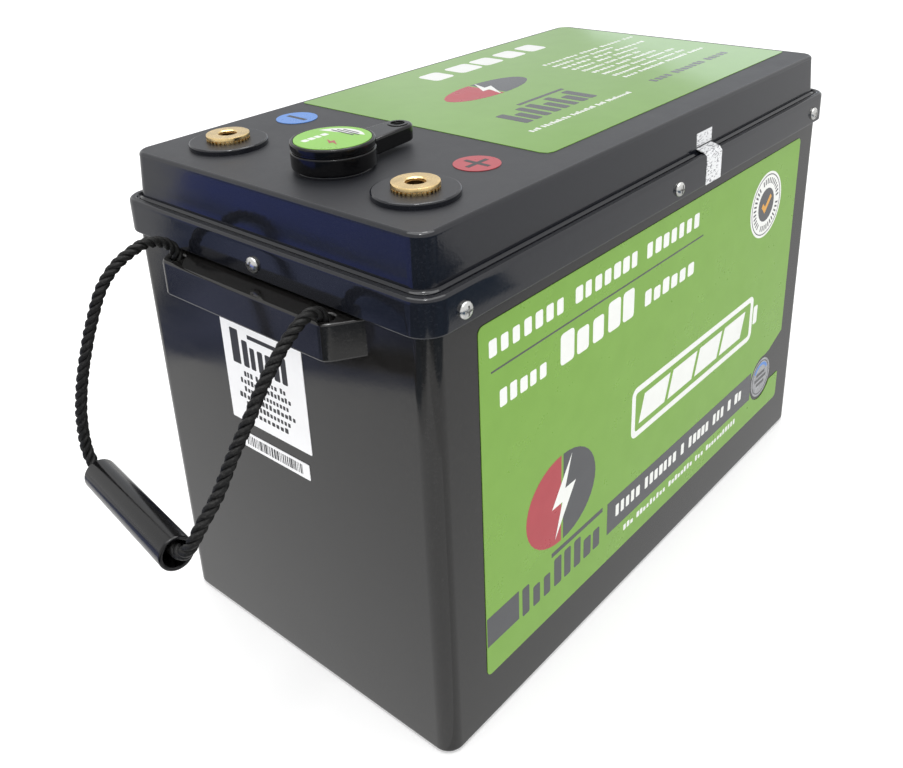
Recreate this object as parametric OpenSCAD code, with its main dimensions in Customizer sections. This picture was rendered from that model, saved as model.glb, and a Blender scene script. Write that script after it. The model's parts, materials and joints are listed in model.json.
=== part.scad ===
// Deep cycle lithium battery: moulded case, screwed lid, two threaded brass terminals,
// a lift-off magnetic switch key and a twisted rope handle with a loose tube grip.
// Origin: middle of the base, on the surface that it stands on. The length runs along X,
// with the terminals and the rope handle at the -X end. The labelled side faces -Y. +Z is up.

/* [Case] */
// Length over the lid skirt
case_len = 345; // [330:1:370]
// Width over the lid skirt
case_w = 188; // [186:1:200]
// Height of the raised lid panel above the base
case_h = 240; // [236:1:260]
// How far the lid skirt stands out past the tub on every side
skirt_proud = 3; // [2.6:0.1:4]
// Inward slope of each tub wall from its rim to its base
tub_draft = 1; // [0:0.1:1.5]
// Radius of the tub's upright corners
tub_corner_r = 8; // [5:0.5:12]

/* [Lid] */
// Height of the lid skirt
skirt_h = 14.5; // [12:0.5:16]
// Height of the raised panel above the shelf round it
panel_rise = 21; // [18:0.5:24]
// Width of the shelf between the skirt's face and the raised panel
shelf_w = 5.5; // [5:0.1:8]
// Diameter of the terminal bosses
boss_d = 35; // [30:1:38]
// Height of the terminal bosses
boss_h = 2; // [1:0.5:4]

/* [Terminals] */
// Distance between the two terminals, across the battery
terminal_gap = 114; // [100:1:116]
// Distance of the terminals from the middle of the battery
terminal_x = 136; // [134:1:142]
// Diameter of the brass contact flange
flange_d = 19.5; // [16:0.5:24]
// Diameter of the threaded hole at its crests
thread_d = 6.8; // [5:0.1:8.5]

/* [Handle] */
// Diameter of the rope
rope_d = 5; // [4.5:0.1:5.6]
// Outer diameter of the tube grip
grip_d = 13.4; // [13:0.1:18]
// Length of the front face of the handle ledge
ledge_len = 101; // [100:1:116]

/* [Switch key] */
// Diameter of the key's round head
key_d = 35.5; // [30:0.5:37]
// Diameter of the eyelet in the key's tab
eyelet_d = 6; // [4:0.5:7]

/* [Cells] */
// Thickness of one cell
cell_t = 71.7; // [70:0.1:72]
// Width of one cell
cell_w = 173.7; // [170:0.1:173.8]
// Height of one cell without its poles
cell_h = 204.6; // [200:0.1:204.8]

/* [Hidden] */

fine = 64;
round_fn = 32;
slip = 0.3;

// Lid levels
skirt_top = case_h - panel_rise - 1.5;
skirt_bottom = skirt_top - skirt_h;
shelf_top = case_h - panel_rise;
shelf_under = shelf_top - 3.5;
skirt_wall = 3;
skirt_corner_r = tub_corner_r + skirt_proud;
panel_wall = 3;
panel_top_t = 3.5;
panel_l = case_len - 2 * shelf_w;
panel_w = case_w - 2 * shelf_w - 1;
panel_r = 8;
groove_w = 2.4;
groove_depth = 1.8;
panel_under = case_h - panel_top_t;
boss_top = case_h + boss_h;

// Tub
tub_l = case_len - 2 * skirt_proud;
tub_w = case_w - 2 * skirt_proud;
gasket_t = 1;
rim_z = shelf_under - gasket_t;
side_wall = 2.5;
end_wall = 4;
floor_t = 4;

// Lid screws
screw_z = (skirt_bottom + skirt_top) / 2 - 1;
screw_x = 153;
screw_head_d = 7;
screw_head_h = 2.2;
screw_shank_d = 3.8;
screw_len = skirt_wall + slip + side_wall - 0.4;

// Terminals
flange_t = 3.5;
insert_d = 14;
insert_bottom = case_h - 14;
thread_depth = 14;
under_depth = 3.5;
lead_in = 1;
knurls = 28;

// Switch key
key_x = -131.5;
key_y = -7.5;
seat_h = 1;
key_z = case_h + seat_h + slip;
key_body_h = 8.5;
key_cap_h = 3;
tab_root_w = 20;
tab_w = 13;
tab_reach = 38;
magnet_d = 20;
magnet_h = 4;

// Handle ledge
ledge_front = case_len / 2 + 10.5;
ledge_top = skirt_bottom - 1;
ledge_h = 16;
ledge_flare = 9;
ledge_root = tub_l / 2 - 0.05;
rope_hole_x = case_len / 2 + 4.3;
rope_hole_y = 47;
rope_hole_d = 6.2;
stop_d = 9;
stop_h = 10;
stop_pocket_d = 9.6;
ledge_plate = 4.5;

// Rope: the moving length turns about swing_z over the two holes
swing_z = ledge_top + rope_d / 2 + 0.25;
rope_sides = 10;
rope_route = [
    [-176.8, 47, 204.8], [-180.2, 47, 208.6], [-185, 47, 211.9], [-190.8, 47, 213.2],
    [-196, 47, 212.3], [-201.8, 47.5, 210], [-206.8, 47.5, 207.2], [-211.5, 47.5, 203],
    [-215.3, 47.5, 197.8], [-218.6, 47.5, 191.2], [-221.4, 48, 184.5], [-223.9, 48, 178.2],
    [-226.4, 48, 171.5], [-228.6, 48, 164.5], [-230.2, 48.3, 157.5], [-231.4, 48.5, 150.5],
    [-232.1, 48.5, 142.6], [-232.5, 47.8, 136], [-232.7, 45.6, 131.4], [-233, 42, 129.1],
    [-233.5, 36, 128.6], [-236.8, 18, 130.5], [-240.2, 0, 132.4], [-243.6, -18, 134.3],
    [-246.9, -35, 136], [-247.7, -40.3, 136.9], [-247.8, -44.2, 139], [-246.9, -46.8, 142.4],
    [-244.8, -48, 146.2], [-241.5, -48, 149.6], [-237.2, -48, 153.6], [-233.1, -47.7, 157.6],
    [-228.8, -47.5, 163.4], [-224.8, -47.5, 168.9], [-220.3, -47.5, 174.4], [-216.3, -47.5, 179.3],
    [-212.2, -47.3, 184.6], [-207.6, -47.2, 189.8], [-202.3, -47, 195], [-195.6, -47, 199.9],
    [-190.2, -47, 202.9], [-185, -47, 205], [-180.5, -47, 205.7], [-176.8, -47, 204.8]
];
grip_ends = [[-233.1, 39, 126.6], [-247.3, -37.5, 134.6]];
grip_bore_d = 9.8;

// Labels
label_t = 0.3;
label_gap = 0.02;
side_label_box = [-143, 26.5, 146, 196.5];
top_label_box = [-69, -70, 162, 84];
end_sticker_box = [-20, 125, 33, 181];
barcode_box = [-17, 111, 30, 119];
seal_x = 26;
seal_w = 15;

// Cell pack
cell_n = 4;
spacer_t = 0.5;
pad_t = 1;
film_t = 0.8;
cell_pitch = cell_t + spacer_t;
cell_z = floor_t + pad_t + film_t + 0.2;
cell_top = cell_z + cell_h;
pole_y = 61;
pole_d = 18;
pole_h = 2.6;
stud_d = 6;
stud_h = 9;
bar_z = cell_top + pole_h;
bar_t = 2;
bar_w = 20;
plate_t = 3;
plate_h = 195;
stack_half = (cell_n * cell_t + (cell_n - 1) * spacer_t) / 2;
band_t = 0.5;
band_h = 16;
band_zs = [60, 150];

// Battery management board
board_x0 = -92;
board_x1 = 58;
board_half_w = 40;
tray_z = cell_top + 0.3;
tray_t = 1.5;
board_z = tray_z + tray_t + 4.2;
board_t = 1.6;
board_top = board_z + board_t;
mosfet_h = 4.5;
sink_z = board_top + mosfet_h;
lead_z = insert_bottom - bar_t;

// A block with upright rounded corners, centred on the origin in X and Y
module rounded_block(l, w, h, r) {
    translate([-l / 2 + r, -w / 2, 0]) cube([l - 2 * r, w, h]);
    translate([-l / 2, -w / 2 + r, 0]) cube([l, w - 2 * r, h]);
    for (sx = [-1, 1], sy = [-1, 1])
        translate([sx * (l / 2 - r), sy * (w / 2 - r), 0]) cylinder(r = r, h = h, $fn = fine);
}

// A rounded ring: an outer block less an inner one
module rounded_ring(l, w, h, r, t) {
    difference() {
        rounded_block(l, w, h, r);
        translate([0, 0, -1]) rounded_block(l - 2 * t, w - 2 * t, h + 2, max(r - t, 1));
    }
}

// A block that widens by draft on each side towards its top
module drafted_block(l, w, h, r, draft) {
    skin = 0.01;
    hull() {
        for (sx = [-1, 1], sy = [-1, 1]) {
            translate([sx * (l / 2 - draft - r), sy * (w / 2 - draft - r), 0])
                cylinder(r = r, h = skin, $fn = round_fn);
            translate([sx * (l / 2 - r), sy * (w / 2 - r), h - skin])
                cylinder(r = r, h = skin, $fn = round_fn);
        }
    }
}

// Places its children at each lid screw, with +Z pointing out of the case
module at_screws() {
    for (sy = [-1, 1], x = [-screw_x, 0, screw_x])
        translate([x, sy * case_w / 2, screw_z]) rotate([-sy * 90, 0, 0]) children();
    for (sx = [-1, 1])
        translate([sx * case_len / 2, 0, screw_z]) rotate([0, sx * 90, 0]) children();
}

// Places its children at the two terminals
module at_terminals() {
    for (sy = [-1, 1]) translate([-terminal_x, sy * terminal_gap / 2, 0]) children();
}

// The ledge that carries a rope at the -X end: slanted ends, a rounded upper edge and two rope holes,
// each with a wider pocket below for the rope's stop
module handle_ledge() {
    edge_r = 3;
    half = ledge_len / 2;
    difference() {
        translate([0, 0, ledge_top - ledge_h]) linear_extrude(ledge_h) polygon([
            [-ledge_root, -half - ledge_flare], [-ledge_front, -half],
            [-ledge_front, half], [-ledge_root, half + ledge_flare]
        ]);
        translate([-ledge_front, 0, ledge_top]) rotate([90, 0, 0]) difference() {
            translate([-1, -edge_r, -case_w / 2]) cube([edge_r + 1, edge_r + 1, case_w]);
            translate([edge_r, -edge_r, -case_w / 2 - 1]) cylinder(r = edge_r, h = case_w + 2, $fn = fine);
        }
        for (sy = [-1, 1]) translate([-rope_hole_x, sy * rope_hole_y, ledge_top - ledge_h - 1]) {
            cylinder(d = rope_hole_d, h = ledge_h + 2, $fn = fine);
            cylinder(d = stop_pocket_d, h = ledge_h + 1 - ledge_plate, $fn = fine);
        }
    }
}

module case_tub() {
    color("#26262a") difference() {
        drafted_block(tub_l, tub_w, rim_z, tub_corner_r, tub_draft);
        translate([0, 0, floor_t]) drafted_block(
            tub_l - 2 * end_wall, tub_w - 2 * side_wall, rim_z - floor_t + 1,
            tub_corner_r - side_wall, tub_draft
        );
        at_screws() translate([0, 0, -12]) cylinder(d = screw_shank_d + 0.1, h = 12, $fn = round_fn);
    }
}

module ledge_near() { color("#2b2b2f") handle_ledge(); }
module ledge_far() { color("#2b2b2f") mirror([1, 0, 0]) handle_ledge(); }

module lid() {
    color("#2a2b30") difference() {
        union() {
            translate([0, 0, skirt_bottom]) rounded_block(case_len, case_w, skirt_h, skirt_corner_r);
            translate([0, 0, skirt_top]) rounded_block(
                case_len - 3, case_w - 3, shelf_top - skirt_top, skirt_corner_r - 1.5
            );
            translate([0, 0, shelf_top]) rounded_block(panel_l, panel_w, panel_rise, panel_r);
            at_terminals() translate([0, 0, case_h]) cylinder(d = boss_d, h = boss_h, $fn = fine);
        }
        // Room for the tub's rim
        translate([0, 0, skirt_bottom - 1]) rounded_block(
            tub_l + 2 * slip, tub_w + 2 * slip, shelf_under - skirt_bottom + 1, tub_corner_r + slip
        );
        // Room under the raised panel, less a collar round each terminal insert
        difference() {
            translate([0, 0, shelf_under - 1]) rounded_block(
                panel_l - 2 * panel_wall, panel_w - 2 * panel_wall,
                panel_under - shelf_under + 1, panel_r - panel_wall
            );
            at_terminals() translate([0, 0, insert_bottom + 4])
                cylinder(d = insert_d + 8, h = case_h, $fn = fine);
        }
        // Groove round the foot of the raised panel
        translate([0, 0, shelf_top - groove_depth]) difference() {
            rounded_block(
                panel_l + 2 * groove_w, panel_w + 2 * groove_w, groove_depth + 1, panel_r + groove_w
            );
            translate([0, 0, -1]) rounded_block(panel_l, panel_w, groove_depth + 3, panel_r);
        }
        at_terminals() translate([0, 0, insert_bottom])
            cylinder(d = insert_d, h = case_h, $fn = fine);
        at_screws() translate([0, 0, -skirt_wall - 1])
            cylinder(d = screw_shank_d + 0.6, h = skirt_wall + 2, $fn = round_fn);
    }
}

module lid_gasket() {
    color("#101010") translate([0, 0, rim_z])
        rounded_ring(tub_l - 0.4, tub_w - 0.4, gasket_t, tub_corner_r - 0.2, 2);
}

module lid_screws() {
    color("silver") at_screws() difference() {
        union() {
            cylinder(d = screw_head_d, h = 1, $fn = fine);
            translate([0, 0, 1]) cylinder(d1 = screw_head_d, d2 = 4.6, h = screw_head_h - 1, $fn = fine);
            translate([0, 0, -screw_len]) cylinder(d = screw_shank_d, h = screw_len, $fn = fine);
        }
        translate([0, 0, 0.8]) cylinder(d = 2.6, h = screw_head_h, $fn = 6);
    }
}

// One threaded brass insert; the thread is a plain bore at its crests
module terminal_insert() {
    difference() {
        union() {
            translate([0, 0, insert_bottom]) cylinder(d = insert_d, h = boss_top - insert_bottom, $fn = fine);
            translate([0, 0, boss_top]) cylinder(d = flange_d, h = flange_t, $fn = fine);
        }
        translate([0, 0, boss_top + flange_t - thread_depth])
            cylinder(d = thread_d, h = thread_depth + 1, $fn = fine);
        translate([0, 0, boss_top + flange_t - lead_in])
            cylinder(d1 = thread_d, d2 = thread_d + 2 * lead_in, h = lead_in + 0.01, $fn = fine);
        translate([0, 0, insert_bottom - 1]) cylinder(d = thread_d, h = under_depth + 1, $fn = fine);
        // Fine knurls round the lower half of the flange
        for (i = [0 : knurls - 1]) rotate([0, 0, i * 360 / knurls])
            translate([flange_d / 2, 0, boss_top - 0.01]) rotate([0, 0, 45])
                translate([-0.4, -0.4, 0]) cube([0.8, 0.8, flange_t / 2]);
    }
}

module terminal_pos() {
    color("gold") translate([-terminal_x, -terminal_gap / 2, 0]) terminal_insert();
}

module terminal_neg() {
    color("gold") translate([-terminal_x, terminal_gap / 2, 0]) terminal_insert();
}

module terminal_bolts() {
    color("silver") at_terminals() {
        translate([0, 0, lead_z - 5.3]) cylinder(d = 15, h = 5.3, $fn = 6);
        translate([0, 0, lead_z - 0.1])
            cylinder(d = thread_d - 0.1, h = bar_t + under_depth - 0.3, $fn = fine);
    }
}

module polarity_disc(x, y) {
    translate([x, y, case_h]) cylinder(d = 20, h = label_t, $fn = fine);
}

module polarity_disc_pos() { color("#b8383f") polarity_disc(-95, -53); }
module polarity_disc_neg() { color("#3f78c8") polarity_disc(-90, 64); }

module switch_seat() {
    color("#151517") translate([key_x, key_y, case_h])
        cylinder(d = key_d - 3, h = seat_h, $fn = fine);
}

module key_body() {
    color("#151517") translate([key_x, key_y, key_z]) difference() {
        union() {
            cylinder(d = key_d, h = key_body_h, $fn = fine);
            translate([0, 0, 0.8]) linear_extrude(key_body_h - 1) polygon([
                [0, -tab_root_w / 2], [tab_reach, -tab_w / 2], [tab_reach, tab_w / 2], [0, tab_root_w / 2]
            ]);
            translate([tab_reach, 0, 0.8]) cylinder(d = tab_w, h = key_body_h - 1, $fn = fine);
        }
        translate([tab_reach, 0, -1]) cylinder(d = eyelet_d, h = key_body_h + 2, $fn = fine);
        translate([0, 0, 1]) cylinder(d = magnet_d + 0.2, h = magnet_h + 0.2, $fn = fine);
    }
}

module key_cap() {
    color("#1d1d20") translate([key_x, key_y, key_z + key_body_h])
        cylinder(d = key_d, h = key_cap_h, $fn = fine);
}

module key_magnet() {
    color("silver") translate([key_x, key_y, key_z + 1.1]) cylinder(d = magnet_d, h = magnet_h, $fn = fine);
}

module key_label() {
    color("#7ec850") translate([key_x, key_y, key_z + key_body_h + key_cap_h])
        cylinder(d = key_d - 3, h = label_t, $fn = fine);
}

module switch_sensor() {
    color("#1f6b3a") translate([key_x - 12, key_y - 9, panel_under - 2.4]) {
        cube([24, 18, 1.6]);
        translate([7, 5, 1.6]) cube([10, 8, 0.7]);
    }
}

module switch_lead() {
    color("#303030") translate([0, key_y + 3, 0]) rotate([90, 0, 0]) linear_extrude(6) polygon([
        [key_x + 2, panel_under - 2.6], [key_x + 14, panel_under - 2.6], [board_x0 + 3, board_top + 2.4],
        [board_x0 + 12, board_top + 2.4], [board_x0 + 12, board_top + 0.2], [board_x0 + 1, board_top + 0.2],
        [key_x + 13, panel_under - 3.6], [key_x + 2, panel_under - 3.6]
    ]);
}

// A flat label on the -Y wall of the tub, which leans outward with height; box is [x0, z0, x1, z1]
module side_label() {
    lean = atan(tub_draft / rim_z);
    b = side_label_box;
    color("#7db83e") translate([0, -tub_w / 2 + tub_draft - label_gap, 0]) rotate([90 + lean, 0, 0])
        linear_extrude(label_t) polygon([[b[0], b[1]], [b[2], b[1]], [b[2], b[3]], [b[0], b[3]]]);
}

module top_label() {
    b = top_label_box;
    color("#7db83e") translate([0, 0, case_h]) linear_extrude(label_t)
        polygon([[b[0], b[1]], [b[2], b[1]], [b[2], b[3]], [b[0], b[3]]]);
}

// A sticker on the -X wall of the tub; box is [y0, z0, y1, z1]
module end_wall_sticker(b) {
    lean = atan(tub_draft / rim_z);
    translate([-tub_l / 2 + tub_draft - label_gap, 0, 0]) rotate([0, -90 - lean, 0])
        linear_extrude(label_t) polygon([[b[1], b[0]], [b[3], b[0]], [b[3], b[2]], [b[1], b[2]]]);
}

module end_sticker() { color("white") end_wall_sticker(end_sticker_box); }
module barcode_strip() { color("white") end_wall_sticker(barcode_box); }

// A seal that runs down the raised panel, over the shelf and down the skirt
module seal_sticker() {
    t = label_t;
    yp = -panel_w / 2 - label_gap;
    ys = -case_w / 2 - label_gap;
    color("white") translate([seal_x, 0, 0]) rotate([90, 0, 90]) linear_extrude(seal_w) polygon([
        [yp, case_h - 12], [yp, shelf_top + 1.4], [ys + 1.4, shelf_top + label_gap],
        [ys, skirt_top], [ys, skirt_bottom + 0.5], [ys - t, skirt_bottom + 0.5], [ys - t, skirt_top],
        [ys + 1.4 - t, shelf_top + t], [yp - t, shelf_top + 1.4 + t], [yp - t, case_h - 12]
    ]);
}

// Unit vector along v
function unit(v) = v / norm(v);
// Direction of a route at its point i
function heading(p, i) = unit(p[min(i + 1, len(p) - 1)] - p[max(i - 1, 0)]);
// A vector across the direction d that stays close to the vector a
function across(d, a) = unit(a - d * (a * d));
// Side vectors carried along the route without twist
function frames(p, i = 0, last = [0, 0, 1], out = []) =
    i == len(p) ? out
    : let (a = across(heading(p, i), last)) frames(p, i + 1, a, concat(out, [a]));

// A round tube swept along the route p
module swept_tube(p, d, sides) {
    f = frames(p, 0, [0, 1, 0]);
    n = len(p);
    rings = [for (i = [0 : n - 1], k = [0 : sides - 1])
        let (a = f[i], b = cross(heading(p, i), a), t = 360 * k / sides)
            p[i] + d / 2 * (a * cos(t) + b * sin(t))];
    walls = [for (i = [0 : n - 2], k = [0 : sides - 1])
        let (m = (k + 1) % sides)
            [i * sides + k, i * sides + m, (i + 1) * sides + m, (i + 1) * sides + k]];
    start_cap = [[for (k = [sides - 1 : -1 : 0]) k]];
    end_cap = [[for (k = [0 : sides - 1]) (n - 1) * sides + k]];
    facets = [for (w = concat(start_cap, walls, end_cap)) [for (j = [len(w) - 1 : -1 : 0]) w[j]]];
    polyhedron(points = rings, faces = facets, convexity = 6);
}

module handle_rope() {
    color("#121212") swept_tube(rope_route, rope_d, rope_sides);
}

// Turns +Z onto the line from a to b and places its children at a
module along(a, b) {
    d = b - a;
    translate(a) rotate([0, acos(d[2] / norm(d)), atan2(d[1], d[0])]) children();
}

module handle_grip() {
    a = grip_ends[0];
    b = grip_ends[1];
    l = norm(b - a);
    lip = 1.6;
    wall = (grip_d - grip_bore_d) / 2;
    color("#1b1b1d") along(a, b) rotate_extrude($fn = fine) polygon(concat(
        [[grip_bore_d / 2, 0], [grip_bore_d / 2 + wall - lip, 0]],
        [for (t = [0 : 30 : 90]) [grip_d / 2 - lip + lip * sin(t), lip - lip * cos(t)]],
        [for (t = [0 : 30 : 90]) [grip_d / 2 - lip + lip * cos(t), l - lip + lip * sin(t)]],
        [[grip_bore_d / 2, l]]
    ));
}

module rope_stubs() {
    stub_top = swing_z - rope_d / 2 - slip;
    color("#121212") for (sy = [-1, 1]) translate([-rope_hole_x, sy * rope_hole_y, ledge_top - ledge_plate])
        cylinder(d = rope_d, h = stub_top - ledge_top + ledge_plate, $fn = fine);
}

module rope_stops() {
    color("silver") for (sy = [-1, 1])
        translate([-rope_hole_x, sy * rope_hole_y, ledge_top - ledge_plate - stop_h])
            cylinder(d = stop_d, h = stop_h, $fn = fine);
}

function cell_x(i) = (i - (cell_n - 1) / 2) * cell_pitch;

module cell(i) {
    color("#2f6fb5") translate([cell_x(i), 0, cell_z]) rounded_block(cell_t, cell_w, cell_h, 3);
}

module cell_1() { cell(0); }
module cell_2() { cell(1); }
module cell_3() { cell(2); }
module cell_4() { cell(3); }

// Places its children at every cell pole, on top of the cells
module at_poles() {
    for (i = [0 : cell_n - 1], sy = [-1, 1]) translate([cell_x(i), sy * pole_y, cell_top]) children();
}

module cell_poles() { color("#c8cacc") at_poles() cylinder(d = pole_d, h = pole_h, $fn = fine); }

module cell_studs() {
    color("silver") at_poles() translate([0, 0, pole_h]) cylinder(d = stud_d, h = stud_h, $fn = round_fn);
}

module stud_nuts() {
    color("silver") at_poles() translate([0, 0, pole_h + bar_t]) difference() {
        cylinder(d = 11.5, h = 5, $fn = 6);
        translate([0, 0, -1]) cylinder(d = stud_d + 0.1, h = 7, $fn = round_fn);
    }
}

// Clearance holes for the two studs that a series bar joins
module series_bar(i, side) {
    translate([(cell_x(i) + cell_x(i + 1)) / 2, side * pole_y, bar_z]) difference() {
        rounded_block(cell_pitch + bar_w, bar_w, bar_t, 4);
        for (s = [-1, 1]) translate([s * cell_pitch / 2, 0, -1])
            cylinder(d = stud_d + 0.4, h = 4, $fn = round_fn);
    }
}

module series_bars() {
    color("#b87333") {
        series_bar(0, 1);
        series_bar(1, -1);
        series_bar(2, 1);
    }
}

module cell_spacers() {
    color("#d9d3b8") for (i = [0 : cell_n - 2])
        translate([(cell_x(i) + cell_x(i + 1)) / 2 - spacer_t / 2, -cell_w / 2 + 2, cell_z])
            cube([spacer_t, cell_w - 4, cell_h - 4]);
}

module end_plate(side) {
    color("#b9bcc0") translate([side * (stack_half + plate_t / 2), 0, cell_z]) translate([0, 0, plate_h / 2])
        cube([plate_t, cell_w - 2, plate_h], center = true);
}

module end_plate_left() { end_plate(-1); }
module end_plate_right() { end_plate(1); }

module foam_block(side) {
    inner = stack_half + plate_t + band_t + 0.3;
    outer = tub_l / 2 - tub_draft - end_wall - 0.5;
    color("#3b3b3b") translate([side * (inner + outer) / 2, 0, floor_t + 0.5]) translate([0, 0, 90])
        cube([outer - inner, 150, 180], center = true);
}

module foam_block_left() { foam_block(-1); }
module foam_block_right() { foam_block(1); }

module pack_bands() {
    l = 2 * (stack_half + plate_t + band_t);
    color("#9a9da1") for (z = band_zs) translate([0, 0, z])
        rounded_ring(l, cell_w + 2 * band_t, band_h, 1.5, band_t);
}

module base_pad() {
    color("#4a4a4a") translate([0, 0, floor_t + 0.1]) rounded_block(2 * stack_half, cell_w - 2, pad_t, 3);
}

module heating_film() {
    color("#c77d2a") translate([0, 0, floor_t + pad_t + 0.15])
        rounded_block(2 * stack_half - 10, cell_w - 14, film_t, 3);
}

module cell_tray() {
    color("#cfd6c0") translate([0, 0, tray_z]) rounded_block(2 * stack_half - 8, 96, tray_t, 5);
}

module bms_board() {
    color("#14532d") translate([board_x0, -board_half_w, board_z])
        cube([board_x1 - board_x0, 2 * board_half_w, board_t]);
}

module bms_standoffs() {
    color("#d8d8d8") for (x = [board_x0 + 6, board_x1 - 18], sy = [-1, 1])
        translate([x, sy * (board_half_w - 5), tray_z + tray_t])
            cylinder(d = 7, h = board_z - tray_z - tray_t, $fn = round_fn);
}

module bms_mosfets() {
    color("#202020") for (i = [0 : 7], sy = [-1, 1])
        translate([-52 + i * 12.5, sy * 20 - 5, board_top]) cube([9, 10, mosfet_h]);
}

module bms_heatsink() {
    fins = 9;
    color("#a9adb2") {
        translate([-56, -28, sink_z]) cube([102, 56, 2]);
        for (i = [0 : fins - 1]) translate([-56, -28 + i * 6.75, sink_z + 2]) cube([102, 2, 5]);
    }
}

// Copper posts that join the pack lead and the output lead to the board
module bms_posts() {
    color("#b87333") {
        translate([46, -36, bar_z + bar_t]) cube([10, 12, board_z - bar_z - bar_t]);
        translate([-86, 18, board_top]) cube([14, 16, lead_z - board_top]);
    }
}

module radio_module() {
    color("#1d2b55") translate([-88, -38, board_top]) cube([18, 24, 2.6]);
}

module balance_plug() {
    color("ivory") translate([-66, 31, board_top]) cube([26, 7, 7]);
}

// Flat sense ribbon from the balance plug to the nearest series bar
module balance_ribbon() {
    color("#8a2f2f") translate([-64, 0, 0]) rotate([90, 0, 90]) linear_extrude(22) polygon([
        [38.2, board_top + 1.5], [38.2, board_top + 2.5], [44, board_top + 2.5], [50, bar_z + bar_t + 1.2],
        [58, bar_z + bar_t + 1.2], [58, bar_z + bar_t + 0.2], [49.5, bar_z + bar_t + 0.2],
        [43.5, board_top + 1.5]
    ]);
}

module temperature_sensor() {
    color("#f0f0e8") translate([80, 20, tray_z + tray_t]) {
        cylinder(d = 5, h = 3, $fn = round_fn);
        translate([2, -1, 0]) cube([16, 2, 1.2]);
    }
}

// Positive lead: a bent copper strap from the first cell up to the insert
module lead_positive() {
    y0 = -pole_y - 8;
    w = 24;
    x_pole = cell_x(0);
    color("#b87333") difference() {
        translate([0, y0 + w, 0]) rotate([90, 0, 0]) linear_extrude(w) polygon([
            [x_pole + 10, bar_z], [x_pole + 10, bar_z + bar_t], [x_pole - 11, bar_z + bar_t],
            [x_pole - 17, lead_z + bar_t], [-terminal_x - 10, lead_z + bar_t], [-terminal_x - 10, lead_z],
            [x_pole - 18.5, lead_z], [x_pole - 12.5, bar_z]
        ]);
        translate([x_pole, -pole_y, bar_z - 1]) cylinder(d = stud_d + 0.4, h = 4, $fn = round_fn);
        translate([-terminal_x, -terminal_gap / 2, lead_z - 1]) cylinder(d = 8, h = 4, $fn = round_fn);
    }
}

// Negative lead: a flat strap from the board's output post to the insert
module lead_negative() {
    y = terminal_gap / 2;
    color("#b87333") translate([0, 0, lead_z]) difference() {
        linear_extrude(bar_t) polygon([
            [-72, 18], [-72, 34], [-88, 40], [-terminal_x + 10, y + 10], [-terminal_x - 10, y + 10],
            [-terminal_x - 10, y - 10], [-terminal_x + 8, y - 10], [-92, 18]
        ]);
        translate([-terminal_x, y, -1]) cylinder(d = 8, h = 4, $fn = round_fn);
    }
}

// Pack lead: a flat strap from the last cell to the board's input post
module lead_pack() {
    x_pole = cell_x(cell_n - 1);
    color("#b87333") translate([0, 0, bar_z]) difference() {
        linear_extrude(bar_t) polygon([
            [x_pole - 10, -pole_y - 10], [x_pole + 10, -pole_y - 10], [x_pole + 10, -24],
            [46, -24], [46, -36], [x_pole - 10, -36]
        ]);
        translate([x_pole, -pole_y, -1]) cylinder(d = stud_d + 0.4, h = 4, $fn = round_fn);
    }
}

case_tub();
ledge_near();
ledge_far();
lid();
lid_gasket();
lid_screws();
terminal_pos();
terminal_neg();
terminal_bolts();
polarity_disc_pos();
polarity_disc_neg();
switch_seat();
key_body();
key_cap();
key_magnet();
key_label();
switch_sensor();
switch_lead();
side_label();
top_label();
end_sticker();
barcode_strip();
seal_sticker();
handle_rope();
handle_grip();
rope_stubs();
rope_stops();
cell_1();
cell_2();
cell_3();
cell_4();
cell_poles();
cell_studs();
series_bars();
stud_nuts();
cell_spacers();
end_plate_left();
end_plate_right();
foam_block_left();
foam_block_right();
pack_bands();
base_pad();
heating_film();
cell_tray();
bms_board();
bms_standoffs();
bms_mosfets();
bms_heatsink();
bms_posts();
radio_module();
balance_plug();
balance_ribbon();
temperature_sensor();
lead_positive();
lead_negative();
lead_pack();
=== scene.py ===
import json
import math
import random

import bmesh
import bpy
from mathutils import Matrix, Vector


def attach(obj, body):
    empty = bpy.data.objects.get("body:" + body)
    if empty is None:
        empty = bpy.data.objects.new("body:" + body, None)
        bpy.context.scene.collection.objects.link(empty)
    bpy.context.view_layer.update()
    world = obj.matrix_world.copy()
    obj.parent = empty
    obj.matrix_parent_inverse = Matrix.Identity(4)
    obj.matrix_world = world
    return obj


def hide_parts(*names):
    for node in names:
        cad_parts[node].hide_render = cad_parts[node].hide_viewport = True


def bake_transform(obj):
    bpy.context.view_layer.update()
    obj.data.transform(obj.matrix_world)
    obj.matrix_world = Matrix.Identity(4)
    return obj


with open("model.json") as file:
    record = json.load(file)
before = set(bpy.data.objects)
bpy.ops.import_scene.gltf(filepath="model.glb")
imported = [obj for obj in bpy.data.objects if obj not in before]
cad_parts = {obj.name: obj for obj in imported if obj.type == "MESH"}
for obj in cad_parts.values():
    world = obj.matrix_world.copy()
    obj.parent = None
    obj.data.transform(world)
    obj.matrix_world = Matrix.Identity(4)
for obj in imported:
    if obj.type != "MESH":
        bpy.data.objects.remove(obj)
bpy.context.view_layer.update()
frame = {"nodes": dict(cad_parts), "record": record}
nodes = frame["nodes"]
MM = 0.001
SCENE = bpy.context.scene.collection


# ---------------------------------------------------------------- camera

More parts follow.
